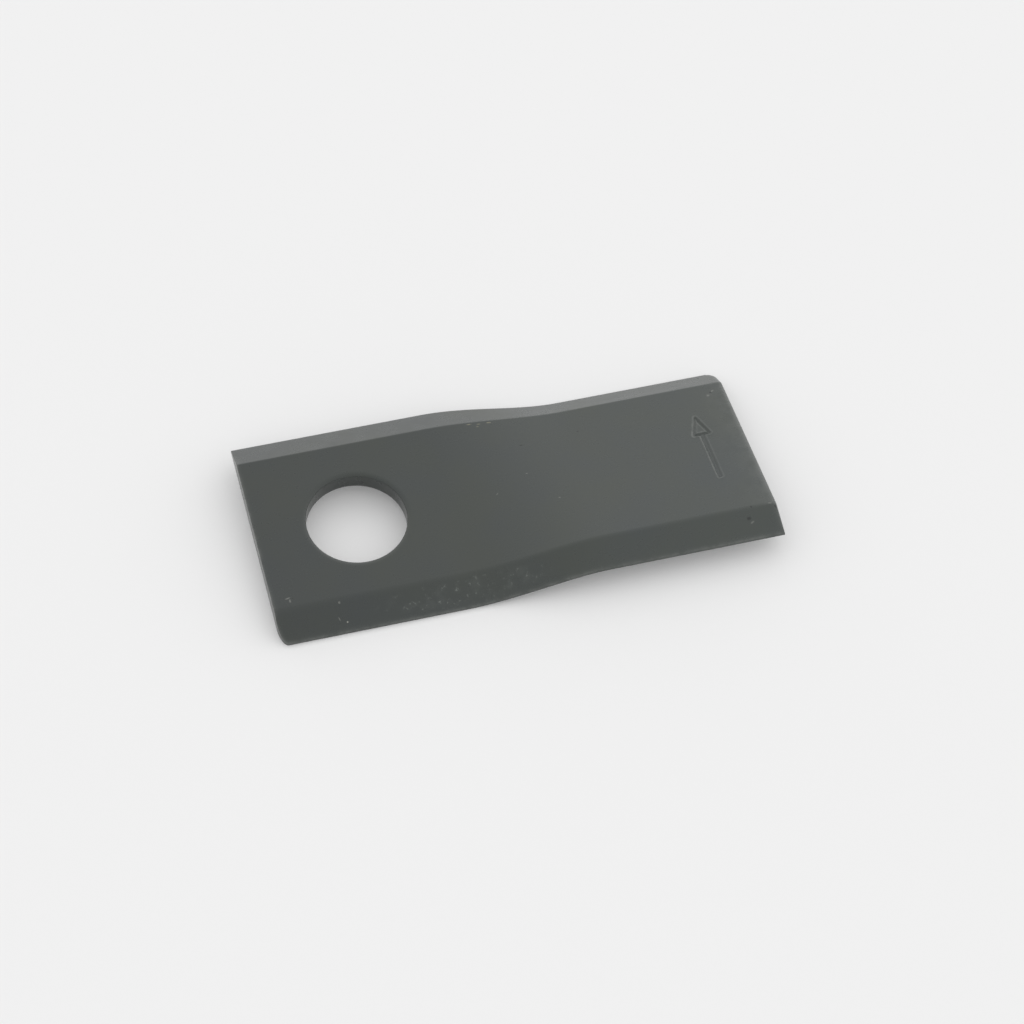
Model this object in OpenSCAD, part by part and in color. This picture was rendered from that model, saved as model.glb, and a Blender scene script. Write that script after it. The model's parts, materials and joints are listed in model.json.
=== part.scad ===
// Rotary mower blade: one piece of spring steel plate, punched, ground along both long edges and twisted.
// X runs from the pivot bore to the tip, Y points to the leading edge and Z follows the bore.
// The origin is the centre of the bore, half way through the plate. Lengths are in millimetres.

/* [Plate] */
// Length from the butt end to the tip
blade_length = 106; // [80:0.5:130]
// Width over both long edges
blade_width = 48; // [36:0.5:60]
// Thickness of the plate
plate_t = 4; // [3:0.1:6]

/* [Pivot bore] */
// Diameter of the bore that hangs the blade on its pin
bore_d = 21; // [12:0.1:24]
// Centre of the bore to the butt end
butt_reach = 21.2; // [17:0.1:28]
// Rounding of the bore's upper rim, where the punch went in
bore_rim_r = 0.5; // [0.2:0.1:1]

/* [Cutting edges] */
// Width of the bevel along each long edge, seen from above
bevel_w = 5.8; // [3:0.1:9]
// Height of the blunt land that is left under each bevel
edge_land = 0.8; // [0.3:0.1:1.6]

/* [Twist] */
// Turn of the outer half about the blade's length, leading edge down (degrees)
twist_angle = 10.5; // [2:0.5:16]
// Centre of the bore to where the twist starts
twist_start = 18.7; // [15:0.1:26]
// Length over which the plate twists
twist_run = 31.2; // [20:0.1:40]

/* [Corners] */
// Radius of the leading corner at the tip, seen from above
tip_corner_r = 3.5; // [1:0.1:10]
// Radius of the trailing corner at the butt end, seen from above
butt_corner_r = 2.5; // [1:0.1:10]
// Radius of the worn roll along the tip's upper edge
tip_roll_r = 1.5; // [0.5:0.1:2.5]

/* [Hidden] */
paint_colour = [0.33, 0.34, 0.33];
tip_x = blade_length - butt_reach;
half_w = blade_width / 2;
half_t = plate_t / 2;
// Half width of the flat top between the two bevels
flat_half = half_w - bevel_w;
bore_r = bore_d / 2;
// Steps along the twist, and strips across each bevel and across the flat between them
twist_steps = 32;
bevel_strips = 2;
flat_strips = 12;
// A cutter reaches this far past the solid, and its arc crosses a face by this little, so no faces coincide
past = plate_t / 4;
lap = plate_t / 2000;
round_fn = 96;

// The values from a to b in n even steps, without b itself
function steps(a, b, n) = [for (i = [0 : n - 1]) a + (b - a) * i / n];

// Rise from 0 to 1 that starts and ends level
function ease(u) = u * u * (3 - 2 * u);

// How far the section at x has turned about the X axis
function turn_at(x) = -twist_angle * ease(min(max((x - twist_start) / twist_run, 0), 1));

// Height of the upper face at y: the flat top, or the bevel that falls to the edge's land
function top_at(y) = min(half_t, edge_land - half_t + (half_w - abs(y)) * (plate_t - edge_land) / bevel_w);

// Place across the width y and height z in the section at x, turned with that section
function placed(x, y, z) =
    let (a = turn_at(x))
    [x, y * cos(a) - z * sin(a), y * sin(a) + z * cos(a)];

// The plate as a loft: one section after another along X, each with its lower row of points, then its upper row
module twisted_plate() {
    stations = concat(
        [-butt_reach],
        steps(twist_start, twist_start + twist_run, twist_steps),
        [twist_start + twist_run, tip_x]);
    across = concat(
        steps(-half_w, -flat_half, bevel_strips),
        steps(-flat_half, flat_half, flat_strips),
        steps(flat_half, half_w, bevel_strips),
        [half_w]);
    rows = len(across);
    ring = 2 * rows;
    last = (len(stations) - 1) * ring;
    points = [
        for (x = stations, upper = [0, 1], i = [0 : rows - 1])
            placed(x, across[i], upper ? top_at(across[i]) : -half_t)];
    lower_face = [
        for (s = [0 : ring : last - 1], i = [s : s + rows - 2])
            [i, i + ring, i + ring + 1, i + 1]];
    upper_face = [
        for (s = [0 : ring : last - 1], i = [s + rows : s + ring - 2])
            [i, i + 1, i + ring + 1, i + ring]];
    trailing_land = [for (s = [0 : ring : last - 1]) [s, s + rows, s + rows + ring, s + ring]];
    leading_land = [
        for (s = [rows - 1 : ring : last - 1])
            [s, s + ring, s + rows + ring, s + rows]];
    butt_face = [for (i = [0 : rows - 2]) [i, i + 1, i + rows + 1, i + rows]];
    tip_face = [for (i = [last : last + rows - 2]) [i, i + rows, i + rows + 1, i + 1]];
    polyhedron(
        points,
        concat(lower_face, upper_face, trailing_land, leading_land, butt_face, tip_face),
        convexity = 4);
}

// What lies beyond an arc of radius r that rounds off the corner at the origin, towards +X and +Y
module corner_waste(r) {
    translate([lap - r, lap - r])
        difference() {
            square(r + past);
            circle(r, $fn = round_fn);
        }
}

// The pivot bore, with its upper rim rounded
module bore_cut() {
    cylinder(h = plate_t + 2 * past, d = bore_d, center = true, $fn = round_fn);
    rotate_extrude($fn = round_fn)
        translate([bore_r, half_t])
            mirror([1, 0])
                corner_waste(bore_rim_r);
}

// The round at the trailing corner of the butt end
module butt_corner_cut() {
    translate([-butt_reach, -half_w, -half_t - past])
        rotate(180)
            linear_extrude(plate_t + 2 * past)
                corner_waste(butt_corner_r);
}

// The round at the leading corner of the tip, square to the turned plate there
module tip_corner_cut() {
    translate([tip_x, half_w, -half_t - past])
        linear_extrude(plate_t + 2 * past)
            corner_waste(tip_corner_r);
}

// The roll along the tip's upper edge, across the full width
module tip_roll_cut() {
    translate([tip_x, half_w + past, half_t])
        rotate([90, 0, 0])
            linear_extrude(blade_width + 2 * past)
                corner_waste(tip_roll_r);
}

module blade() {
    color(paint_colour)
        difference() {
            twisted_plate();
            bore_cut();
            butt_corner_cut();
            rotate([turn_at(tip_x), 0, 0]) {
                tip_corner_cut();
                tip_roll_cut();
            }
        }
}

blade();
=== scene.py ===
# %% [markdown]
# # A twisted mower blade
# The real thing is one strip of spring steel: a hole is punched for the pivot pin, both long edges are
# ground to a bevel, the outer half is twisted in a press and the whole is dipped in thin dark paint.
# The imported solid is the fixed frame here. This lesson builds its visible skin from formulas, so that the
# edges can be softened, the sign can be pressed in and the paint can be worn and given some painted
# highlights and painted sheen, and then lights and frames it.

# %% Load the frame
import json
import math

import bpy
import numpy as np
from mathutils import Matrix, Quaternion, Vector


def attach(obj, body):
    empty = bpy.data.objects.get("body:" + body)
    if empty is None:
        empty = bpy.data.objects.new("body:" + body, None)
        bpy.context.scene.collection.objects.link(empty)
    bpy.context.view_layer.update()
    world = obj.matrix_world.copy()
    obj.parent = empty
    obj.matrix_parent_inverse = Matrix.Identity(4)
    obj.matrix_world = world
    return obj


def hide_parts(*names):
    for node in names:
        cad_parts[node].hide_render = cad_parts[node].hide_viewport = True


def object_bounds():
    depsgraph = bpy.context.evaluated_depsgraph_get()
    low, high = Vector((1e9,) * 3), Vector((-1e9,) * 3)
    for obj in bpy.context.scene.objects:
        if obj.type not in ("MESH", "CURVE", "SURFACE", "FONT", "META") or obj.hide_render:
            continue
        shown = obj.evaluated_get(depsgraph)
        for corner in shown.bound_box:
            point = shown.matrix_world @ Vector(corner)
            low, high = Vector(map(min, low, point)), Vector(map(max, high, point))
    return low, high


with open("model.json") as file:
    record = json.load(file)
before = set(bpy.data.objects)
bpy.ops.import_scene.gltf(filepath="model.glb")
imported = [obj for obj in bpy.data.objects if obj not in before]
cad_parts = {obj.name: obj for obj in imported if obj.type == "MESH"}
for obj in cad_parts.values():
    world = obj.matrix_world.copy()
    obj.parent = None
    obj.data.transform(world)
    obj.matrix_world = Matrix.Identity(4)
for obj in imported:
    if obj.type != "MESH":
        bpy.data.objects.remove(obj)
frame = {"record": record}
cad_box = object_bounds()
print("solid box in mm", [[round(c * 1000, 2) for c in corner] for corner in cad_box])

# %% [markdown]
# ## Sizes
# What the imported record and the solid's box can tell is read from them: the bore, the plate's thickness,
# the ends and the width. The rest are the sizes that shape a twisted blade, in metres. They follow the
# solid, apart from details that are too small for it: the paint's film narrows the bore, the twist starts
# a little earlier on one edge, two corners are quarter ellipses and the tip's end isn't quite square.

# %% Sizes of the blade
MM = 0.001
PAINT_FILM = 0.08 * MM
mounts = {m["name"]: m for m in frame["record"]["mounts"]}
BORE_R = mounts["pivot_bore"]["dims"]["r_mm"] * MM - PAINT_FILM
HALF_T = mounts["upper_seat"]["pos_m"][2]
BUTT_X, TIP_X = cad_box[0].x, cad_box[1].x
HALF_W = cad_box[1].y

BEVEL_W = 5.8 * MM
EDGE_LAND = 0.8 * MM
TWIST = math.radians(-10.5)
TWIST_START = 18.4 * MM
TWIST_RUN = 30.1 * MM
TWIST_SKEW = 1.95 * MM
TIP_CORNER_X, TIP_CORNER_Y = 1.7 * MM, 2.8 * MM
BUTT_CORNER_X, BUTT_CORNER_Y = 1.7 * MM, 4.2 * MM
TIP_LEAN = 0.47 * MM

TWIST_END = TWIST_START + TWIST_RUN
FLAT_HALF = HALF_W - BEVEL_W
BEVEL_SLOPE = (2 * HALF_T - EDGE_LAND) / BEVEL_W
print("blade of", [round(d / MM, 1) for d in (TIP_X - BUTT_X, 2 * HALF_W, 2 * HALF_T)], "mm")

# %% [markdown]
# ## The twist
# A flat plate is easy to describe: x along it, y across it, z through it. The press then turns each
# cross-section about the x axis, by an angle that eases from nothing at the bore to its full value at the
# outer half. The press does not bend quite square to the plate: the trailing edge turns a little earlier
# than the leading edge. Every point below is first worked out on the flat plate and then turned.

# %% Turn a flat plate into a twisted one
def ease(u):
    """Rise from 0 to 1 that starts and ends level: three u squared less two u cubed."""
    u = np.clip(u, 0, 1)
    return u * u * (3 - 2 * u)


def leading_share(y):
    """How far across the plate y lies: 0 on the trailing edge, 1 on the leading edge."""
    return (y + HALF_W) / (2 * HALF_W)


def twisted(x, y, z):
    """Points of the flat plate, each turned about the x axis by the angle of its own cross-section.

    Past the twist the plate is also sheared back towards the leading edge, as its tip is not quite square."""
    start = TWIST_START + TWIST_SKEW * y / (2 * HALF_W)
    angle = TWIST * ease((x - start) / TWIST_RUN)
    lean = TIP_LEAN * ease((x - TWIST_END) / (TIP_X - TWIST_END)) * leading_share(y)
    across = y * np.cos(angle) - z * np.sin(angle)
    up = y * np.sin(angle) + z * np.cos(angle)
    return np.stack([x - lean, across, up], axis=-1)


leading_tip = twisted(np.array(TIP_X), np.array(HALF_W), np.array(-HALF_T))
print("leading edge at the tip lies", round((-HALF_T - leading_tip[2]) / MM, 2), "mm lower than by the bore")

# %% [markdown]
# ## Shapes of edges and corners
# Over a point (x, y) of the plan the steel reaches from a lower to an upper height. Before the heights come
# the shapes that they are made of: a soft minimum, which joins two surfaces as grinding and paint do at a
# crease, a drop on a quarter ellipse for every rounded edge, and the distance to the outline.

# %% Shapes of edges and corners
TINY = 1e-9


def soft_min(a, b, k):
    """The smaller of a and b, blended by a parabola where they differ by less than k."""
    h = np.clip(1 - np.abs(a - b) / k, 0, None)
    return np.minimum(a, b) - h * h * k / 4


def round_drop(d, wide, deep):
    """Drop of a quarter ellipse at a distance d inside an edge: all of deep at 0, nothing from wide on."""
    u = np.clip(1 - d / wide, 0, 1)
    return deep * (1 - np.sqrt(1 - u * u))


def outline_y(x):
    """The two long edges at x: straight, apart from a quarter ellipse at one corner of each end."""
    leading = HALF_W - round_drop(TIP_X - x, TIP_CORNER_X, TIP_CORNER_Y)
    return round_drop(x - BUTT_X, BUTT_CORNER_X, BUTT_CORNER_Y) - HALF_W, leading


def inside_ellipse(u, v, a, b):
    """Distance in to an ellipse of half axes a and b: one less the scaled radius, over its slope."""
    q = np.hypot(u / a, v / b) + TINY
    return (1 - q) * q / (np.hypot(u / a ** 2, v / b ** 2) + TINY)


def edge_distance(x, y):
    """Distance from (x, y) to the outline: to the nearest straight side, or to a corner's quarter ellipse."""
    d = np.minimum(np.minimum(x - BUTT_X, TIP_X - x), HALF_W - np.abs(y))
    tip_u, tip_v = x - (TIP_X - TIP_CORNER_X), y - (HALF_W - TIP_CORNER_Y)
    butt_u, butt_v = (BUTT_X + BUTT_CORNER_X) - x, -y - (HALF_W - BUTT_CORNER_Y)
    at_tip = inside_ellipse(tip_u, tip_v, TIP_CORNER_X, TIP_CORNER_Y)
    at_butt = inside_ellipse(butt_u, butt_v, BUTT_CORNER_X, BUTT_CORNER_Y)
    d = np.where((tip_u > 0) & (tip_v > 0), at_tip, d)
    return np.where((butt_u > 0) & (butt_v > 0), at_butt, d)


print("crease lies", round(float(edge_distance(0, FLAT_HALF)) / MM, 2), "mm inside the edge")

# %% [markdown]
# ## The plate's two faces as heights
# The upper face is the lower of two surfaces: the flat top and the bevel on that side. On the real blade the
# trailing crease is softer than the leading one, most of all by the bore, and the tip's upper edge is rolled,
# so the crease's softness changes along x and the roll's width across y. Near any edge both faces draw in on
# a quarter circle, so no edge is sharp.

# %% Heights of the upper and lower face
EDGE_R = 0.18 * MM
UNDER_EDGE_R = 0.12 * MM
RIM_WIDE, RIM_DEEP = 1.1 * MM, 0.45 * MM
ROLL_LEADING, ROLL_TRAILING, ROLL_DEEP = 1.07 * MM, 1.9 * MM, 0.78 * MM
ROLL_ON_BEVEL = 1.1
CREASE_LEADING = 0.10 * MM
CREASE_TRAILING_BUTT, CREASE_TRAILING_TIP = 0.60 * MM, 0.32 * MM


def tip_roll(x, y):
    """Drop of the tip's upper edge: a quarter ellipse that is wider towards the trailing edge."""
    to_tip = np.where((x > TIP_X - TIP_CORNER_X) & (y > 0), edge_distance(x, y), TIP_X - x)
    wide = ROLL_TRAILING + (ROLL_LEADING - ROLL_TRAILING) * leading_share(y)
    return round_drop(to_tip, wide, ROLL_DEEP)


def upper_height(x, y):
    """The flat top and the bevels, both rolled at the tip, meet softly and drop at edges and at the bore."""
    roll = tip_roll(x, y)
    bevel = EDGE_LAND - HALF_T + (HALF_W - np.abs(y)) * BEVEL_SLOPE
    thick = np.clip((bevel + HALF_T) / (2 * HALF_T), 0, 1)
    along = ease((x - BUTT_X) / (TWIST_END - BUTT_X))
    trailing = CREASE_TRAILING_BUTT + (CREASE_TRAILING_TIP - CREASE_TRAILING_BUTT) * along
    crease = np.where(y > 0, CREASE_LEADING, trailing)
    top = soft_min(HALF_T - roll, bevel - ROLL_ON_BEVEL * thick * roll, crease)
    edge = round_drop(edge_distance(x, y), EDGE_R, EDGE_R)
    return top - edge - round_drop(np.hypot(x, y) - BORE_R, RIM_WIDE, RIM_DEEP)


def lower_height(x, y):
    """The flat underside, lifted on a quarter circle at the outline and at the bore."""
    rim = round_drop(np.hypot(x, y) - BORE_R, UNDER_EDGE_R, UNDER_EDGE_R)
    return round_drop(edge_distance(x, y), UNDER_EDGE_R, UNDER_EDGE_R) + rim - HALF_T


near_edge_y = HALF_W - EDGE_R
edge_thick = upper_height(0, near_edge_y) - lower_height(0, near_edge_y)
print("edge is", round(float(edge_thick) / MM, 2), "mm thick")

# %% [markdown]
# ## The pressed sign
# An outlined arrow is pressed into the steel near the tip and shows which way the disc turns. A bump map
# could fake it, but its walls catch the light, so it is cut into the heights: the depth depends only on the
# distance to the arrow's outline, which is a closed run of seven straight strokes. A stamp also pushes the
# steel up beside each stroke, so the same distance gives a low burr.

# %% The arrow's groove
ARROW_X = 75.8 * MM
ARROW_TIP_Y = 9.1 * MM
ARROW_HEAD_Y = 4.3 * MM
ARROW_END_Y = -8.3 * MM
ARROW_HEAD_HALF = 1.7 * MM
ARROW_SHAFT_HALF = 0.16 * MM
ARROW_LINE_HALF = 0.42 * MM
ARROW_DEPTH = 0.22 * MM
BURR_AT, BURR_HALF, BURR_HEIGHT = 0.52 * MM, 0.18 * MM, 0.05 * MM

arrow_outline = np.array([
    (0, ARROW_TIP_Y), (ARROW_HEAD_HALF, ARROW_HEAD_Y), (ARROW_SHAFT_HALF, ARROW_HEAD_Y),
    (ARROW_SHAFT_HALF, ARROW_END_Y), (-ARROW_SHAFT_HALF, ARROW_END_Y),
    (-ARROW_SHAFT_HALF, ARROW_HEAD_Y), (-ARROW_HEAD_HALF, ARROW_HEAD_Y)]) + (ARROW_X, 0)


def arrow_strokes(x, y):
    """Distance to the arrow's outline, and how far to the right of the nearest place on it the point lies."""
    runs = np.roll(arrow_outline, -1, axis=0) - arrow_outline
    to_x, to_y = x[..., None] - arrow_outline[:, 0], y[..., None] - arrow_outline[:, 1]
    along = np.clip((to_x * runs[:, 0] + to_y * runs[:, 1]) / (runs ** 2).sum(axis=1), 0, 1)
    right, up = to_x - along * runs[:, 0], to_y - along * runs[:, 1]
    away = np.hypot(right, up)
    nearest = away.argmin(axis=-1)[..., None]
    return away.min(axis=-1), np.take_along_axis(right, nearest, -1)[..., 0]


def burr(away):
    """A bell curve of the distance to the stroke: the steel that the stamp pushed up beside it."""
    return np.exp(-((away - BURR_AT) / BURR_HALF) ** 2)


def arrow_groove(x, y):
    """Depth of the pressed line: full on the arrow's outline, nothing half a line away, less the burr."""
    away, _ = arrow_strokes(x, y)
    return ARROW_DEPTH * (1 - ease(away / ARROW_LINE_HALF)) - BURR_HEIGHT * burr(away)


print("arrow", round((ARROW_TIP_Y - ARROW_END_Y) / MM, 1), "mm long, in", len(arrow_outline), "strokes")

# %% [markdown]
# ## A grid that is fine only where it has to be
# The skin is a rectangular grid of x lines and y lines. Lines crowd together at the rounded ends and
# edges, at the two creases and at the arrow, and stay about a millimetre apart elsewhere. Around the bore a
# square block is taken out of the grid, and rays from its border run in to the circle instead.

# %% Grid lines
PLAIN_STEP = 0.9 * MM
ARROW_STEP = 0.09 * MM
ARROW_HEAD_STEP = 0.16 * MM
CREASE_ZONE, CREASE_STEP = 1.3 * MM, 0.14 * MM
EDGE_ZONE, EDGE_STEP = 0.9 * MM, 0.12 * MM
TIP_ZONE = 2.2 * MM
BLOCK = 13.5 * MM
SAME_LINE = 0.001 * MM
BUTT_LINES, TIP_LINES, EDGE_LINES = 20, 36, 7


def even(a, b, step):
    """Values from a to b, both included, no further apart than step."""
    return np.linspace(a, b, max(2, math.ceil((b - a) / step) + 1))


def quarter(edge, r, inward, count):
    """Values from r inside an edge out to the edge, crowding as the sine of an even angle."""
    return edge + inward * r * (1 - np.sin(np.linspace(0, math.pi / 2, count)))


def lines(*runs):
    """All the runs as one rising list, with values that nearly coincide merged into one."""
    values = np.sort(np.concatenate(runs))
    return values[np.concatenate([[True], np.diff(values) > SAME_LINE])]


arrow_margin = BURR_AT + 2 * BURR_HALF
arrow_reach = ARROW_HEAD_HALF + arrow_margin
x_lines = lines(
    quarter(BUTT_X, BUTT_CORNER_X, 1, BUTT_LINES),
    even(BUTT_X + BUTT_CORNER_X, -BLOCK, PLAIN_STEP),
    even(-BLOCK, BLOCK, PLAIN_STEP),
    even(BLOCK, ARROW_X - arrow_reach, PLAIN_STEP),
    even(ARROW_X - arrow_reach, ARROW_X + arrow_reach, ARROW_STEP),
    even(ARROW_X + arrow_reach, TIP_X - TIP_ZONE, PLAIN_STEP),
    quarter(TIP_X, TIP_ZONE, -1, TIP_LINES))
y_lines = lines(
    quarter(-HALF_W, EDGE_R, 1, EDGE_LINES),
    even(-HALF_W + EDGE_R, -HALF_W + EDGE_ZONE, EDGE_STEP),
    even(-HALF_W + EDGE_ZONE, -FLAT_HALF - CREASE_ZONE, PLAIN_STEP),
    even(-FLAT_HALF - CREASE_ZONE, -FLAT_HALF + CREASE_ZONE, CREASE_STEP),
    even(-FLAT_HALF + CREASE_ZONE, -BLOCK, PLAIN_STEP),
    even(-BLOCK, ARROW_END_Y - arrow_margin, PLAIN_STEP),
    even(ARROW_END_Y - arrow_margin, ARROW_END_Y + arrow_margin, ARROW_STEP),
    even(ARROW_END_Y + arrow_margin, ARROW_HEAD_Y - arrow_margin, PLAIN_STEP),
    even(ARROW_HEAD_Y - arrow_margin, ARROW_HEAD_Y + arrow_margin, ARROW_STEP),
    even(ARROW_HEAD_Y + arrow_margin, ARROW_TIP_Y + arrow_margin, ARROW_HEAD_STEP),
    even(ARROW_TIP_Y + arrow_margin, BLOCK, PLAIN_STEP),
    even(BLOCK, FLAT_HALF - CREASE_ZONE, PLAIN_STEP),
    even(FLAT_HALF - CREASE_ZONE, FLAT_HALF + CREASE_ZONE, CREASE_STEP),
    even(FLAT_HALF + CREASE_ZONE, HALF_W - EDGE_ZONE, PLAIN_STEP),
    even(HALF_W - EDGE_ZONE, HALF_W - EDGE_R, EDGE_STEP),
    quarter(HALF_W, EDGE_R, -1, EDGE_LINES))
print("grid of", len(x_lines), "by", len(y_lines), "lines")

# %% [markdown]
# ## Patches of vertex numbers
# The upper and the lower face share one grid in plan, and walls join them at the outline and inside the
# bore. Each patch is an array of vertex numbers. Neighbouring patches share their border's numbers, so the
# skin will be closed without any merging afterwards.

# %% Points in plan, and patches
RAY_ROWS = 9
RIM_ROWS = 9


def plan_grid():
    """The grid in plan: where a corner is rounded, the rows of its bevel squeeze in towards the crease."""
    x, y = np.meshgrid(x_lines, y_lines, indexing="ij")
    trailing, leading = outline_y(x)
    over, under = y > FLAT_HALF, y < -FLAT_HALF
    y = np.where(over, FLAT_HALF + (y - FLAT_HALF) * (leading - FLAT_HALF) / BEVEL_W, y)
    return x, np.where(under, -FLAT_HALF + (y + FLAT_HALF) * (trailing + FLAT_HALF) / -BEVEL_W, y)


def ray_points(x, y):
    """Rows of points from the block's border in to the bore: even along each ray, then round the rim."""
    angle, far = np.arctan2(y, x), np.hypot(x, y)
    rim = BORE_R + RIM_WIDE
    share = np.linspace(1, 0, RAY_ROWS)[1:, None]
    turn = np.repeat(quarter(BORE_R, RIM_WIDE, 1, RIM_ROWS)[1:, None], len(x), axis=1)
    radius = np.concatenate([rim + (far - rim) * share, turn])
    return radius * np.cos(angle), radius * np.sin(angle)


def border(ids):
    """The numbers around a patch, anticlockwise, as a closed loop that ends where it began."""
    return np.concatenate([ids[:, 0], ids[-1, 1:], ids[-2::-1, -1], ids[0, -2::-1]])


def ring(ids):
    """A patch that closes on itself: its first column is repeated at the end."""
    return np.concatenate([ids, ids[:, :1]], axis=1)


def quads(ids):
    """Four numbers for each cell of a patch, anticlockwise when rows run along x and columns along y."""
    return np.stack([ids[:-1, :-1], ids[1:, :-1], ids[1:, 1:], ids[:-1, 1:]], axis=-1).reshape(-1, 4)


print("plan grid of", plan_grid()[0].size, "points")

# %% [markdown]
# ## One face in plan
# The block around the bore is taken out of the grid, and the rays fill the gap between its border and the
# circle. The walls will start from two loops of vertex numbers, one at the outline and one at the bore.

# %% One face in plan
def face_plan():
    """The plan's x and y, its quads seen from above, and the loops of numbers at the outline and the bore."""
    grid_x, grid_y = plan_grid()
    top = np.arange(grid_x.size).reshape(grid_x.shape)
    block_ends = np.array([-BLOCK, BLOCK]) - SAME_LINE
    low_i, high_i = np.searchsorted(x_lines, block_ends)
    low_j, high_j = np.searchsorted(y_lines, block_ends)
    block = border(top[low_i:high_i + 1, low_j:high_j + 1])[:-1]
    kept = np.ones((grid_x.shape[0] - 1, grid_x.shape[1] - 1), bool)
    kept[low_i:high_i, low_j:high_j] = False

    ray_x, ray_y = ray_points(grid_x.ravel()[block], grid_y.ravel()[block])
    ray_ids = grid_x.size + np.arange(ray_x.size).reshape(ray_x.shape)
    rays = ring(np.concatenate([block[None], ray_ids]))
    plan_x = np.concatenate([grid_x.ravel(), ray_x.ravel()])
    plan_y = np.concatenate([grid_y.ravel(), ray_y.ravel()])
    plan_quads = np.concatenate([quads(top)[kept.ravel()], quads(rays)[:, ::-1]])
    return plan_x, plan_y, plan_quads, border(top)[:-1], rays[-1, :-1]


print("one face has", len(face_plan()[2]), "quads")

# %% [markdown]
# ## Sew the skin together
# Now the heights lift the plan's points to the two faces, the walls get a few rows in between, and all the
# patches go into one list of quads. The twist comes last, so everything before it stays flat and simple.

# %% The closed skin
WALL_ROWS = 4


def blade_skin():
    """Vertices and quads of the closed skin, flat x, y and z of each vertex, and the upper quads' count."""
    x, y, upper_quads, outline, bore = face_plan()
    upper, lower = upper_height(x, y) - arrow_groove(x, y), lower_height(x, y)
    lower_quads = upper_quads[:, ::-1] + len(x)
    rows = np.linspace(0, 1, WALL_ROWS + 2)[1:-1, None]
    points, patches, count = [(x, y, upper), (x, y, lower)], [upper_quads, lower_quads], 2 * len(x)
    for loop, outward in ((outline, True), (bore, False)):
        z = upper[loop] + (lower[loop] - upper[loop]) * rows
        between = count + np.arange(z.size).reshape(z.shape)
        wall = quads(ring(np.concatenate([loop[None], between, len(x) + loop[None]])))
        patches.append(wall if outward else wall[:, ::-1])
        points.append((np.tile(x[loop], WALL_ROWS), np.tile(y[loop], WALL_ROWS), z.ravel()))
        count += z.size

    flat = [np.concatenate(c) for c in zip(*points)]
    used, faces = np.unique(np.concatenate(patches), return_inverse=True)
    return twisted(*flat)[used], faces.reshape(-1, 4), [c[used] for c in flat], len(upper_quads)


vertices, faces, (flat_x, flat_y, flat_z), upper_count = blade_skin()
print("skin of", len(vertices), "points and", 2 * len(faces), "triangles")

# %% [markdown]
# ## The blade as an object
# The arrays become one mesh in one call. The flat plate's own x and y are kept as a UV map, so that the paint
# can place a mark by plain millimetres; the underside and the walls are moved far off in that map and stay
# free of marks. This skin stands in for the solid's node and rides on the same body.

# %% Make the blade
MARK_FREE = -1.0


def add_mesh(name, points, faces):
    """A smooth-shaded object at the origin, from an array of points and an array of quads."""
    mesh = bpy.data.meshes.new(name)
    mesh.from_pydata(points, [], faces)
    mesh.shade_smooth()
    mesh.update()
    made = bpy.data.objects.new(name, mesh)
    bpy.context.scene.collection.objects.link(made)
    return made


blade = add_mesh("twisted_blade", vertices, faces)
corner_points = faces.ravel()
plan_uv = np.stack([flat_x[corner_points], flat_y[corner_points]], axis=-1)
plan_uv[4 * upper_count:] += MARK_FREE
plan = blade.data.uv_layers.new(name="plan")
plan.data.foreach_set("uv", plan_uv.astype(np.float32).ravel())
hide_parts("blade")
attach(blade, "root")
print(blade.name, "with a map of", len(plan_uv), "corners")

# %% [markdown]
# ## Where the paint is thin, and where highlights are painted
# Paint draws back from a sharp edge while it dries, and handling rubs it there first, so an edge looks a
# little paler than the faces beside it. How near each point lies to the outline, and on a wall to its upper
# or lower edge, is known from the flat plate, so it is stored as one number per point for the paint to read.
# Three more places are painted paler. The butt end is a rough sheared face with thin paint, and its paleness
# is also a painted reflection of the bright floor beside it. The last few millimetres of the flat top at the
# tip have rubbed paint and a painted highlight along the rolled end. The burr beside the arrow gets a painted
# highlight, strongest to the left of each stroke, where the light from the right catches the steel.

# %% Thin paint along the edges
THIN_REACH = 0.25 * MM
# Paleness of the butt end: a sheared face with thin paint, and painted reflection.
SHEARED_END_AND_REFLECTION = 0.6
# Painted highlight along the tip's rolled end, with rubbed paint.
TIP_RUB_AND_HIGHLIGHT, TIP_RUB_AND_HIGHLIGHT_REACH = 0.55, 3.0 * MM
# Painted highlight on the burr, to the left and to the right of each stroke.
BURR_HIGHLIGHT_LEFT, BURR_HIGHLIGHT_RIGHT = 1.0, 0.35


def paint_thinness_and_highlights():
    """The greatest of four numbers, each from 0 to 1.

    They are exponentials of the distances to an edge and to the tip, one share for all of the butt end, and
    the burr's bell curve times the share of its side."""
    top, low = upper_height(flat_x, flat_y), lower_height(flat_x, flat_y)
    along_face = np.clip(edge_distance(flat_x, flat_y), 0, None)
    down_wall = np.minimum(np.abs(top - flat_z), np.abs(flat_z - low))
    edge = np.exp(-np.hypot(along_face, down_wall) / THIN_REACH)
    on_top = (np.abs(flat_y) < FLAT_HALF) & (flat_z > 0)
    # painted highlight along the tip's rolled end, with rubbed paint
    tip = np.where(on_top, TIP_RUB_AND_HIGHLIGHT * np.exp(-(TIP_X - flat_x) / TIP_RUB_AND_HIGHLIGHT_REACH), 0)
    # butt end: sheared face with thin paint, plus painted reflection
    butt = np.where(flat_x == BUTT_X, SHEARED_END_AND_REFLECTION, 0)
    away, right = arrow_strokes(flat_x, flat_y)
    # painted highlight on the burr, strongest on the side that the light falls on
    burr_highlight = np.where(on_top, burr(away) * np.where(right < 0, BURR_HIGHLIGHT_LEFT, BURR_HIGHLIGHT_RIGHT), 0)
    return np.stack([edge, tip, butt, burr_highlight]).max(axis=0)


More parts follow.
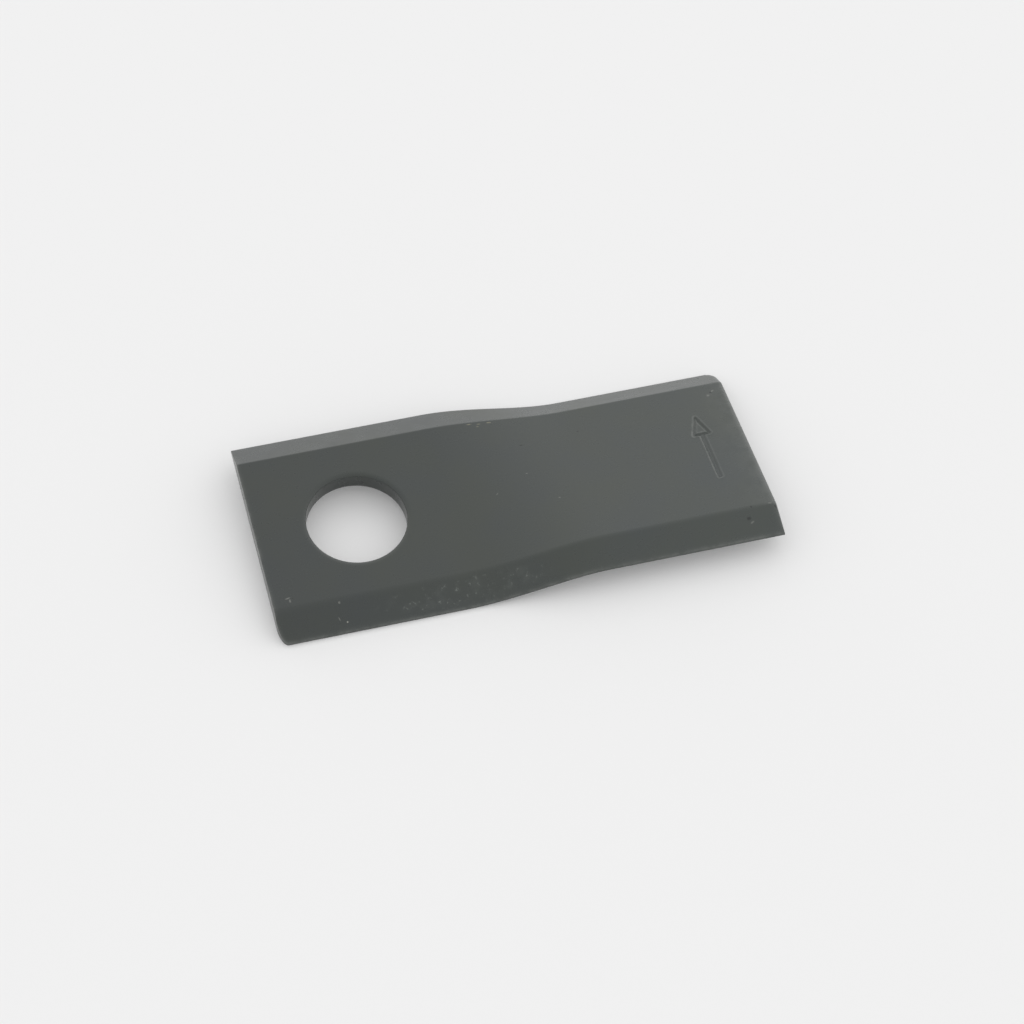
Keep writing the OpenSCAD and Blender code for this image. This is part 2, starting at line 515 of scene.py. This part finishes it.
thinness_and_highlights = paint_thinness_and_highlights()
thin = blade.data.attributes.new("thin_paint_and_highlights", "FLOAT", "POINT")
thin.data.foreach_set("value", thinness_and_highlights.astype(np.float32))
print("points with thin paint", int((thinness_and_highlights > 0.5).sum()))

# %% [markdown]
# ## Helpers for shader nodes
# A material is a small network of nodes. One helper adds a node and sets the constants of its sockets, the
# other starts a node group: a network with named inputs and outputs that can be used again, like a function.

# %% Node helpers
# The Mix node has one set of sockets for each type; these are the ones for colours.
MIX_FACTOR, MIX_A, MIX_B, MIX_RESULT = 0, 6, 7, 2


def add(tree, kind, constants=None, **settings):
    """A new shader node, with its settings and the constants of its sockets by name or number."""
    made = tree.nodes.new("ShaderNode" + kind)
    for name, value in settings.items():
        setattr(made, name, value)
    for socket, value in (constants or {}).items():
        made.inputs[socket].default_value = value
    return made


def start_group(name, takes, gives):
    """An empty node group with its sockets, and the inner ends of these sockets."""
    tree = bpy.data.node_groups.new(name, "ShaderNodeTree")
    for direction, sockets in (("INPUT", takes), ("OUTPUT", gives)):
        for label, kind in sockets.items():
            tree.interface.new_socket(label, in_out=direction, socket_type="NodeSocket" + kind)
    return tree, tree.nodes.new("NodeGroupInput").outputs, tree.nodes.new("NodeGroupOutput").inputs


# %% [markdown]
# ## Paint: colour
# The coat is thin and was dipped, so it is not one even grey: it drifts between a cooler and a warmer
# grey-green in clouds about as wide as a thumb. Noise in object coordinates gives such clouds without any
# picture, and it stays in place on the steel however the blade is turned. The colour is also multiplied by a
# factor that rises along x, so the tip's end is painted paler: this is painted light, which stands in for the
# brighter light on that end.

# %% Clouds of colour
CLOUD_SCALE = 65
# Painted light: the colour's factor at the butt and at the tip, which paints the tip's end brighter.
PAINTED_LIGHT_BUTT, PAINTED_LIGHT_TIP = 0.96, 1.35

clouds_and_light, took, gave = start_group(
    "paint_clouds_and_light", {"Position": "Vector", "Cool": "Color", "Warm": "Color"}, {"Colour": "Color"})
cloud = add(clouds_and_light, "TexNoise", {"Scale": CLOUD_SCALE, "Detail": 2, "Roughness": 0.55})
spread = add(clouds_and_light, "MapRange", {"From Min": 0.32, "From Max": 0.68})
blend = add(clouds_and_light, "Mix", data_type="RGBA")
axes = add(clouds_and_light, "SeparateXYZ")
# Painted light: a factor that rises along x makes the paint paler towards the tip.
painted_light = add(clouds_and_light, "MapRange", {
    "From Min": BUTT_X, "From Max": TIP_X, "To Min": PAINTED_LIGHT_BUTT, "To Max": PAINTED_LIGHT_TIP})
paler = add(clouds_and_light, "Mix", {MIX_FACTOR: 1}, data_type="RGBA", blend_type="MULTIPLY")
clouds_and_light.links.new(took["Position"], cloud.inputs["Vector"])
clouds_and_light.links.new(cloud.outputs["Fac"], spread.inputs["Value"])
clouds_and_light.links.new(spread.outputs["Result"], blend.inputs[MIX_FACTOR])
clouds_and_light.links.new(took["Cool"], blend.inputs[MIX_A])
clouds_and_light.links.new(took["Warm"], blend.inputs[MIX_B])
clouds_and_light.links.new(took["Position"], axes.inputs["Vector"])
clouds_and_light.links.new(axes.outputs["X"], painted_light.inputs["Value"])
clouds_and_light.links.new(blend.outputs[MIX_RESULT], paler.inputs[MIX_A])
clouds_and_light.links.new(painted_light.outputs["Result"], paler.inputs[MIX_B])
clouds_and_light.links.new(paler.outputs[MIX_RESULT], gave["Colour"])
print("group", clouds_and_light.name, "has", len(clouds_and_light.nodes), "nodes")

# %% [markdown]
# ## Paint: skin
# Dipped paint dries with a faint orange peel, and the rolled steel below it is not quite smooth either. A
# fine noise gives the height of the peel, and a coarser one makes the gloss differ a little from place to
# place.

# %% Orange peel
PEEL_SCALE = 1500
GLOSS_SCALE = 260
ROUGH_LOW, ROUGH_HIGH = 0.25, 0.32

peel, took, gave = start_group(
    "orange_peel", {"Position": "Vector"}, {"Height": "Float", "Roughness": "Float"})
grain = add(peel, "TexNoise", {"Scale": PEEL_SCALE, "Detail": 3, "Roughness": 0.5})
patch = add(peel, "TexNoise", {"Scale": GLOSS_SCALE, "Detail": 3, "Roughness": 0.6})
rough = add(peel, "MapRange", {
    "From Min": 0.3, "From Max": 0.7, "To Min": ROUGH_LOW, "To Max": ROUGH_HIGH})
peel.links.new(took["Position"], grain.inputs["Vector"])
peel.links.new(took["Position"], patch.inputs["Vector"])
peel.links.new(grain.outputs["Fac"], gave["Height"])
peel.links.new(patch.outputs["Fac"], rough.inputs["Value"])
peel.links.new(rough.outputs["Result"], gave["Roughness"])
print("roughness runs from", ROUGH_LOW, "to", ROUGH_HIGH)

# %% [markdown]
# ## Paint: thin edges and painted highlights
# The number stored on the points says where the paint is thin and where highlights are painted. A noise
# breaks the pale line up, since no edge is rubbed evenly, and the result mixes in a pale colour: paint so
# thin that the steel greys it, and painted highlight.

# %% Thin edges
RUB_SCALE = 420
RUB_LEAST, RUB_MOST = 0.2, 0.85

edges, took, gave = start_group(
    "thin_edges_and_highlights", {"Position": "Vector", "Thin": "Float", "Colour": "Color", "Worn": "Color"},
    {"Colour": "Color"})
rub = add(edges, "TexNoise", {"Scale": RUB_SCALE, "Detail": 4, "Roughness": 0.65})
patchy = add(edges, "MapRange", {
    "From Min": 0.36, "From Max": 0.62, "To Min": RUB_LEAST, "To Max": RUB_MOST})
share = add(edges, "Math", operation="MULTIPLY")
blend = add(edges, "Mix", data_type="RGBA")
edges.links.new(took["Position"], rub.inputs["Vector"])
edges.links.new(rub.outputs["Fac"], patchy.inputs["Value"])
edges.links.new(patchy.outputs["Result"], share.inputs[0])
edges.links.new(took["Thin"], share.inputs[1])
edges.links.new(share.outputs["Value"], blend.inputs[MIX_FACTOR])
edges.links.new(took["Colour"], blend.inputs[MIX_A])
edges.links.new(took["Worn"], blend.inputs[MIX_B])
edges.links.new(blend.outputs[MIX_RESULT], gave["Colour"])
print("group", edges.name, "has", len(edges.nodes), "nodes")

# %% [markdown]
# ## Paint: painted sheen on the leading bevel
# The outer half of the leading bevel, which does the cutting, is made paler in long streaks. This is a
# painted sheen: it stands in for the light that this bevel reflects more brightly towards the tip. Noise
# stretched along x gives the streaks, and two ramps keep them to that bevel and to that half.

# %% Streaks along the leading bevel
STREAK_X, STREAK_Y = 25, 1700
SHEEN_FROM, SHEEN_TO = 25 * MM, 60 * MM
SHEEN_FADE = 0.3 * MM
STREAK_LEAST, STREAK_MOST = 0.1, 0.7

sheen_group, took, gave = start_group(
    "painted_bevel_sheen", {"Plan": "Vector", "Colour": "Color", "Thin": "Color"}, {"Colour": "Color"})
axes = add(sheen_group, "SeparateXYZ")
outer = add(sheen_group, "MapRange", {"From Min": SHEEN_FROM, "From Max": SHEEN_TO})
bevel = add(sheen_group, "MapRange", {"From Min": FLAT_HALF, "From Max": FLAT_HALF + SHEEN_FADE})
stretch = add(sheen_group, "VectorMath", {1: (STREAK_X, STREAK_Y, 1)}, operation="MULTIPLY")
streak = add(sheen_group, "TexNoise", {"Scale": 1, "Detail": 3, "Roughness": 0.6})
share = add(sheen_group, "MapRange", {
    "From Min": 0.3, "From Max": 0.7, "To Min": STREAK_LEAST, "To Max": STREAK_MOST})
on_bevel = add(sheen_group, "Math", operation="MULTIPLY")
mask = add(sheen_group, "Math", operation="MULTIPLY")
blend = add(sheen_group, "Mix", data_type="RGBA")
sheen_group.links.new(took["Plan"], axes.inputs["Vector"])
sheen_group.links.new(took["Plan"], stretch.inputs[0])
sheen_group.links.new(axes.outputs["X"], outer.inputs["Value"])
sheen_group.links.new(axes.outputs["Y"], bevel.inputs["Value"])
sheen_group.links.new(stretch.outputs["Vector"], streak.inputs["Vector"])
sheen_group.links.new(streak.outputs["Fac"], share.inputs["Value"])
sheen_group.links.new(outer.outputs["Result"], on_bevel.inputs[0])
sheen_group.links.new(bevel.outputs["Result"], on_bevel.inputs[1])
sheen_group.links.new(on_bevel.outputs["Value"], mask.inputs[0])
sheen_group.links.new(share.outputs["Result"], mask.inputs[1])
sheen_group.links.new(mask.outputs["Value"], blend.inputs[MIX_FACTOR])
sheen_group.links.new(took["Colour"], blend.inputs[MIX_A])
sheen_group.links.new(took["Thin"], blend.inputs[MIX_B])
sheen_group.links.new(blend.outputs[MIX_RESULT], gave["Colour"])
print("group", sheen_group.name, "has", len(sheen_group.nodes), "nodes")

# %% [markdown]
# ## Paint: scuffs
# The trailing bevel by the bore is scuffed: a scatter of tiny pale flecks with rubbed paint between them, as
# from sliding over something hard. Fine noise cut off just below its peaks leaves ragged flecks, a coarser
# noise gathers them into patches and an ellipse fades the whole field out. The flecks are also dents, so the
# group passes on a height too.

# %% Scuffs
FLECK_SCALE = 1350
PATCH_SCALE = 380
FLECK_DEPTH = 2.0
RUBBED_MOST = 0.22

scuffs, took, gave = start_group(
    "scuffs",
    {"Plan": "Vector", "Centre": "Vector", "Reach": "Vector",
     "Colour": "Color", "Worn": "Color", "Height": "Float"},
    {"Colour": "Color", "Height": "Float"})
field = add(scuffs, "Mapping", vector_type="TEXTURE")
away = add(scuffs, "VectorMath", operation="LENGTH")
fade = add(scuffs, "MapRange", {"From Min": 1.0, "From Max": 0.55}, interpolation_type="SMOOTHSTEP")
peaks = add(scuffs, "TexNoise", {"Scale": FLECK_SCALE, "Detail": 2, "Roughness": 0.6})
fleck = add(scuffs, "MapRange", {"From Min": 0.58, "From Max": 0.70}, interpolation_type="SMOOTHSTEP")
smear = add(scuffs, "TexNoise", {"Scale": PATCH_SCALE, "Detail": 4, "Roughness": 0.6})
gather = add(scuffs, "MapRange", {"From Min": 0.42, "From Max": 0.60}, interpolation_type="SMOOTHSTEP")
rubbed = add(scuffs, "MapRange", {"From Min": 0.48, "From Max": 0.74, "To Max": RUBBED_MOST})
spot = add(scuffs, "Math", operation="MULTIPLY")
either = add(scuffs, "Math", operation="MAXIMUM")
mask = add(scuffs, "Math", operation="MULTIPLY")
blend = add(scuffs, "Mix", data_type="RGBA")
dent = add(scuffs, "Math", {1: -FLECK_DEPTH}, operation="MULTIPLY_ADD")
scuffs.links.new(took["Plan"], field.inputs["Vector"])
scuffs.links.new(took["Centre"], field.inputs["Location"])
scuffs.links.new(took["Reach"], field.inputs["Scale"])
scuffs.links.new(field.outputs["Vector"], away.inputs[0])
scuffs.links.new(away.outputs["Value"], fade.inputs["Value"])
scuffs.links.new(took["Plan"], peaks.inputs["Vector"])
scuffs.links.new(peaks.outputs["Fac"], fleck.inputs["Value"])
scuffs.links.new(took["Plan"], smear.inputs["Vector"])
scuffs.links.new(smear.outputs["Fac"], gather.inputs["Value"])
scuffs.links.new(smear.outputs["Fac"], rubbed.inputs["Value"])
scuffs.links.new(fleck.outputs["Result"], spot.inputs[0])
scuffs.links.new(gather.outputs["Result"], spot.inputs[1])
scuffs.links.new(spot.outputs["Value"], either.inputs[0])
scuffs.links.new(rubbed.outputs["Result"], either.inputs[1])
scuffs.links.new(either.outputs["Value"], mask.inputs[0])
scuffs.links.new(fade.outputs["Result"], mask.inputs[1])
scuffs.links.new(mask.outputs["Value"], blend.inputs[MIX_FACTOR])
scuffs.links.new(took["Colour"], blend.inputs[MIX_A])
scuffs.links.new(took["Worn"], blend.inputs[MIX_B])
scuffs.links.new(mask.outputs["Value"], dent.inputs[0])
scuffs.links.new(took["Height"], dent.inputs[2])
scuffs.links.new(blend.outputs[MIX_RESULT], gave["Colour"])
scuffs.links.new(dent.outputs["Value"], gave["Height"])
print("group", scuffs.name, "has", len(scuffs.nodes), "nodes")

# %% [markdown]
# ## Paint: single nicks
# A few marks are large enough to know one by one: chips that show pale primer, dark spots and pits, and one
# dark nick at the tip's end that is painted shadow under a small shoulder of the rolled end. One group draws
# one mark. It moves the plan map to the mark's place, turns and shrinks it to the mark's size, frays the edge
# with noise, and mixes the mark's colour into what comes in, so the marks can be strung in a chain.

# %% One nick
FRAY_SCALE = 2600
FRAY_SHARE = 0.9

nick, took, gave = start_group(
    "paint_nick",
    {"Plan": "Vector", "Place": "Vector", "Turn": "Vector", "Size": "Vector",
     "Mark": "Color", "Depth": "Float", "Colour": "Color", "Height": "Float"},
    {"Colour": "Color", "Height": "Float"})
local = add(nick, "Mapping", vector_type="TEXTURE")
away = add(nick, "VectorMath", operation="LENGTH")
fray = add(nick, "TexNoise", {"Scale": FRAY_SCALE, "Detail": 2, "Roughness": 0.6})
ragged = add(nick, "Math", {1: FRAY_SHARE}, operation="MULTIPLY_ADD")
mask = add(nick, "MapRange", {"From Min": 1.45, "From Max": 0.75}, interpolation_type="SMOOTHSTEP")
blend = add(nick, "Mix", data_type="RGBA")
sunk = add(nick, "Math", operation="MULTIPLY")
dent = add(nick, "Math", operation="SUBTRACT")
nick.links.new(took["Plan"], local.inputs["Vector"])
nick.links.new(took["Place"], local.inputs["Location"])
nick.links.new(took["Turn"], local.inputs["Rotation"])
nick.links.new(took["Size"], local.inputs["Scale"])
nick.links.new(local.outputs["Vector"], away.inputs[0])
nick.links.new(took["Plan"], fray.inputs["Vector"])
nick.links.new(fray.outputs["Fac"], ragged.inputs[0])
nick.links.new(away.outputs["Value"], ragged.inputs[2])
nick.links.new(ragged.outputs["Value"], mask.inputs["Value"])
nick.links.new(mask.outputs["Result"], blend.inputs[MIX_FACTOR])
nick.links.new(took["Colour"], blend.inputs[MIX_A])
nick.links.new(took["Mark"], blend.inputs[MIX_B])
nick.links.new(mask.outputs["Result"], sunk.inputs[0])
nick.links.new(took["Depth"], sunk.inputs[1])
nick.links.new(took["Height"], dent.inputs[0])
nick.links.new(sunk.outputs["Value"], dent.inputs[1])
nick.links.new(blend.outputs[MIX_RESULT], gave["Colour"])
nick.links.new(dent.outputs["Value"], gave["Height"])
print("group", nick.name, "has", len(nick.nodes), "nodes")

# %% [markdown]
# ## Paint: put together
# The groups are joined in this order: paint with the painted light along x, thin edges with painted
# highlights, the bevel's painted sheen, scuffs.
# Each group is given the colour that it mixes in, and hands the result to the next. The colour and the
# height then pass on to the nicks.

# %% Paint material
COOL = (0.0318, 0.0377, 0.0366, 1)
WARM = (0.0336, 0.0391, 0.0336, 1)
# Pale colour of worn edges, and of the painted highlights at the tip and the burr and the painted reflection
# at the butt end.
WORN_AND_HIGHLIGHT = (0.112, 0.119, 0.112, 1)
# Painted sheen of the leading bevel.
BEVEL_SHEEN = (0.088, 0.093, 0.090, 1)
SCUFFED = (0.108, 0.119, 0.110, 1)
SCUFF_CENTRE = (18 * MM, -21 * MM, 0)
SCUFF_REACH = (21 * MM, 3.0 * MM, 1)

paint = bpy.data.materials.new("grey_green_paint")
paint.use_nodes = True
tree = paint.node_tree
shader = tree.nodes["Principled BSDF"]
place = add(tree, "TexCoord").outputs["Object"]
plan_map = add(tree, "UVMap", uv_map="plan").outputs["UV"]
thin_and_highlight_map = add(tree, "Attribute", attribute_name="thin_paint_and_highlights").outputs["Fac"]

coat = add(tree, "Group", {"Cool": COOL, "Warm": WARM}, node_tree=clouds_and_light)
skin = add(tree, "Group", node_tree=peel)
rims = add(tree, "Group", {"Worn": WORN_AND_HIGHLIGHT}, node_tree=edges)
sheen = add(tree, "Group", {"Thin": BEVEL_SHEEN}, node_tree=sheen_group)
slid = add(tree, "Group", {"Centre": SCUFF_CENTRE, "Reach": SCUFF_REACH, "Worn": SCUFFED}, node_tree=scuffs)
for user in (coat, skin, rims):
    tree.links.new(place, user.inputs["Position"])
for user in (sheen, slid):
    tree.links.new(plan_map, user.inputs["Plan"])
tree.links.new(thin_and_highlight_map, rims.inputs["Thin"])
tree.links.new(coat.outputs["Colour"], rims.inputs["Colour"])
tree.links.new(rims.outputs["Colour"], sheen.inputs["Colour"])
tree.links.new(sheen.outputs["Colour"], slid.inputs["Colour"])
tree.links.new(skin.outputs["Height"], slid.inputs["Height"])
print("paint with", len(tree.nodes), "nodes so far")

# %% [markdown]
# ## Paint: the nicks in a chain
# Each mark has its place and half size in millimetres on the flat plate, its turn in degrees, its colour and
# its depth. The colour of the last one ends in the shader's base colour, and the height in a bump node, whose
# distance says how deep one unit of height is.

# %% Nicks and shader
PALE = (0.30, 0.30, 0.27, 1)
LIGHT = (0.12, 0.125, 0.115, 1)
SAND = (0.16, 0.155, 0.11, 1)
DARK = (0.018, 0.021, 0.019, 1)
BUMP_UNIT = 0.008 * MM

marks = [
    (-17.9, -15.5, 0.70, 0.22, 8, LIGHT, 4),
    (-17.6, -16.2, 0.26, 0.50, 0, LIGHT, 4),
    (-17.0, -15.8, 0.22, 0.20, 0, DARK, 2),
    (-8.0, -18.6, 0.30, 0.34, 0, LIGHT, 3),
    (-7.1, -22.3, 0.24, 0.20, 0, PALE, 4),
    (-8.6, -21.5, 0.14, 0.50, 20, LIGHT, 2),
    (28.3, 17.7, 0.80, 0.16, 0, SAND, 1),
    (30.4, 17.5, 0.60, 0.14, 0, SAND, 1),
    (32.6, 17.6, 0.75, 0.20, 0, SAND, 1),
    (30.0, 16.9, 0.35, 0.12, 0, SAND, 1),
    (29.6, -0.9, 0.40, 0.14, 30, LIGHT, 2),
    (41.8, -5.3, 0.36, 0.14, -20, LIGHT, 2),
    (37.0, 2.8, 0.30, 0.16, 10, LIGHT, 2),
    (37.8, 10.4, 0.55, 0.22, 0, DARK, 2),
    (50.5, 11.7, 0.40, 0.28, 15, DARK, 2),
    (81.9, 16.0, 0.50, 0.26, 40, LIGHT, 3),
    (80.6, 14.9, 0.50, 0.40, 0, LIGHT, 3),
    (81.3, 15.5, 0.30, 0.40, -30, DARK, 3),
    (78.1, -20.2, 0.62, 0.46, 0, DARK, 2),
    (78.6, -21.0, 0.60, 0.24, 20, LIGHT, 0),
    (79.2, -18.1, 0.30, 0.30, 0, DARK, 3),
    (83.3, -18.0, 0.60, 0.24, 0, LIGHT, 2),
    # A shallow dent painted dark at the tip's end: painted shadow under a small shoulder of the rolled end.
    (84.2, -18.8, 0.36, 0.45, 0, DARK, 4)]

last = slid
for x, y, half_x, half_y, turn, mark, depth in marks:
    one = add(tree, "Group", {
        "Place": (x * MM, y * MM, 0), "Turn": (0, 0, math.radians(turn)),
        "Size": (half_x * MM, half_y * MM, 1), "Mark": mark, "Depth": depth}, node_tree=nick)
    tree.links.new(plan_map, one.inputs["Plan"])
    tree.links.new(last.outputs["Colour"], one.inputs["Colour"])
    tree.links.new(last.outputs["Height"], one.inputs["Height"])
    last = one

bump = add(tree, "Bump", {"Strength": 1, "Distance": BUMP_UNIT})
tree.links.new(last.outputs["Height"], bump.inputs["Height"])
tree.links.new(last.outputs["Colour"], shader.inputs["Base Color"])
tree.links.new(skin.outputs["Roughness"], shader.inputs["Roughness"])
tree.links.new(bump.outputs["Normal"], shader.inputs["Normal"])
blade.data.materials.append(paint)
print("paint with", len(marks), "single marks,", len(tree.nodes), "nodes")

# %% [markdown]
# ## Camera
# The camera looks down on the blade from about 65 centimetres away, through a long lens that keeps its two
# long edges nearly parallel. Place, turn and lens are those that line the edges up with the photograph.

# %% Camera
CAMERA_AT = Vector((-85.12, -336.10, 552.22)) * MM
CAMERA_TO = Vector((31.893, -4.498, 0)) * MM
CAMERA_ROLL = math.radians(5.4975)
CAMERA_LENS = 111.425

look = CAMERA_TO - CAMERA_AT
camera_data = bpy.data.cameras.new("camera")
camera_data.lens = CAMERA_LENS
camera = bpy.data.objects.new("camera", camera_data)
camera.location = CAMERA_AT
camera.rotation_mode = "QUATERNION"
camera.rotation_quaternion = look.to_track_quat("-Z", "Y") @ Quaternion((0, 0, 1), CAMERA_ROLL)
bpy.context.scene.collection.objects.link(camera)
bpy.context.scene.camera = camera
print("camera", round(look.length / MM), "mm away")

# %% [markdown]
# ## Floor
# A twisted blade can't lie flat: it rests on its trailing edge by the bore and on its leading edge by the
# tip. Both edges run along x, so the floor is the plane through the two, tilted a little about x.

# %% Floor
FLOOR_HALF = 2.0
FLOOR_GAP = 0.02 * MM

near_edge = np.array([-HALF_W, -HALF_T])
far_edge = leading_tip[1:]
run = (far_edge - near_edge) / np.linalg.norm(far_edge - near_edge)
floor_up = np.array([0, -run[1], run[0]])
floor_at = np.array([(BUTT_X + TIP_X) / 2, *near_edge]) - FLOOR_GAP * floor_up
u, v = np.meshgrid([-FLOOR_HALF, FLOOR_HALF], [-FLOOR_HALF, FLOOR_HALF], indexing="ij")
floor_points = floor_at + u[..., None] * np.array([1, 0, 0]) + v[..., None] * np.array([0, *run])
floor = add_mesh("floor", floor_points.reshape(-1, 3), quads(np.arange(4).reshape(2, 2)))
print("floor tilted by", round(math.degrees(math.atan2(-run[1], run[0])), 2), "degrees")

# %% [markdown]
# ## The floor's paint
# The floor is plain, pale and matt. It also glows faintly, but only for rays that come from the camera or
# from a mirror. That keeps its shadows from going too dark, as on a table in a bright room, and the glow
# sheds no light on the blade.

# %% Paint of the floor
FLOOR_GREY, FLOOR_GLOW = 0.675, 0.125
FLOOR_ROUGHNESS = 0.9

floor_paint = bpy.data.materials.new("pale_floor")
floor_paint.use_nodes = True
tree = floor_paint.node_tree
shader = tree.nodes["Principled BSDF"]
shader.inputs["Base Color"].default_value = (*[FLOOR_GREY] * 3, 1)
shader.inputs["Roughness"].default_value = FLOOR_ROUGHNESS
shader.inputs["Emission Color"].default_value = (*[FLOOR_GLOW] * 3, 1)
path = add(tree, "LightPath")
seen = add(tree, "Math", operation="ADD")
seen_or_mirrored = add(tree, "Math", operation="ADD")
tree.links.new(path.outputs["Is Camera Ray"], seen.inputs[0])
tree.links.new(path.outputs["Is Glossy Ray"], seen.inputs[1])
tree.links.new(seen.outputs["Value"], seen_or_mirrored.inputs[0])
tree.links.new(path.outputs["Is Transmission Ray"], seen_or_mirrored.inputs[1])
tree.links.new(seen_or_mirrored.outputs["Value"], shader.inputs["Emission Strength"])
floor.data.materials.append(floor_paint)
print("floor of grey", FLOOR_GREY, "with a glow of", FLOOR_GLOW)

# %% [markdown]
# ## Light
# A light tent: white cloth all round, lit from outside, so there is no hard shadow and no lamp to be seen in
# the paint. Its brightness is a straight slope over the directions: brightest low down at the back and to
# the right, dimmest overhead, where the camera looks in. That slope is what makes the leading bevel shine and
# the trailing bevel stay dark.

# %% Light
TENT_LEVEL = 1.42
TENT_SLOPE = (0.20, 0.225, -0.50)

world = bpy.data.worlds.new("light_tent")
world.use_nodes = True
tent = world.node_tree
cloth = tent.nodes["Background"]
cloth.inputs["Color"].default_value = (1, 1, 1, 1)
way = add(tent, "TexCoord")
slope = add(tent, "VectorMath", {1: TENT_SLOPE}, operation="DOT_PRODUCT")
level = add(tent, "Math", {1: TENT_LEVEL}, operation="ADD")
tent.links.new(way.outputs["Generated"], slope.inputs[0])
tent.links.new(slope.outputs["Value"], level.inputs[0])
tent.links.new(level.outputs["Value"], cloth.inputs["Strength"])
bpy.context.scene.world = world
bpy.context.scene.view_settings.view_transform = "Standard"
print("tent's strength is", TENT_LEVEL, "give or take", round(math.hypot(*TENT_SLOPE), 2))
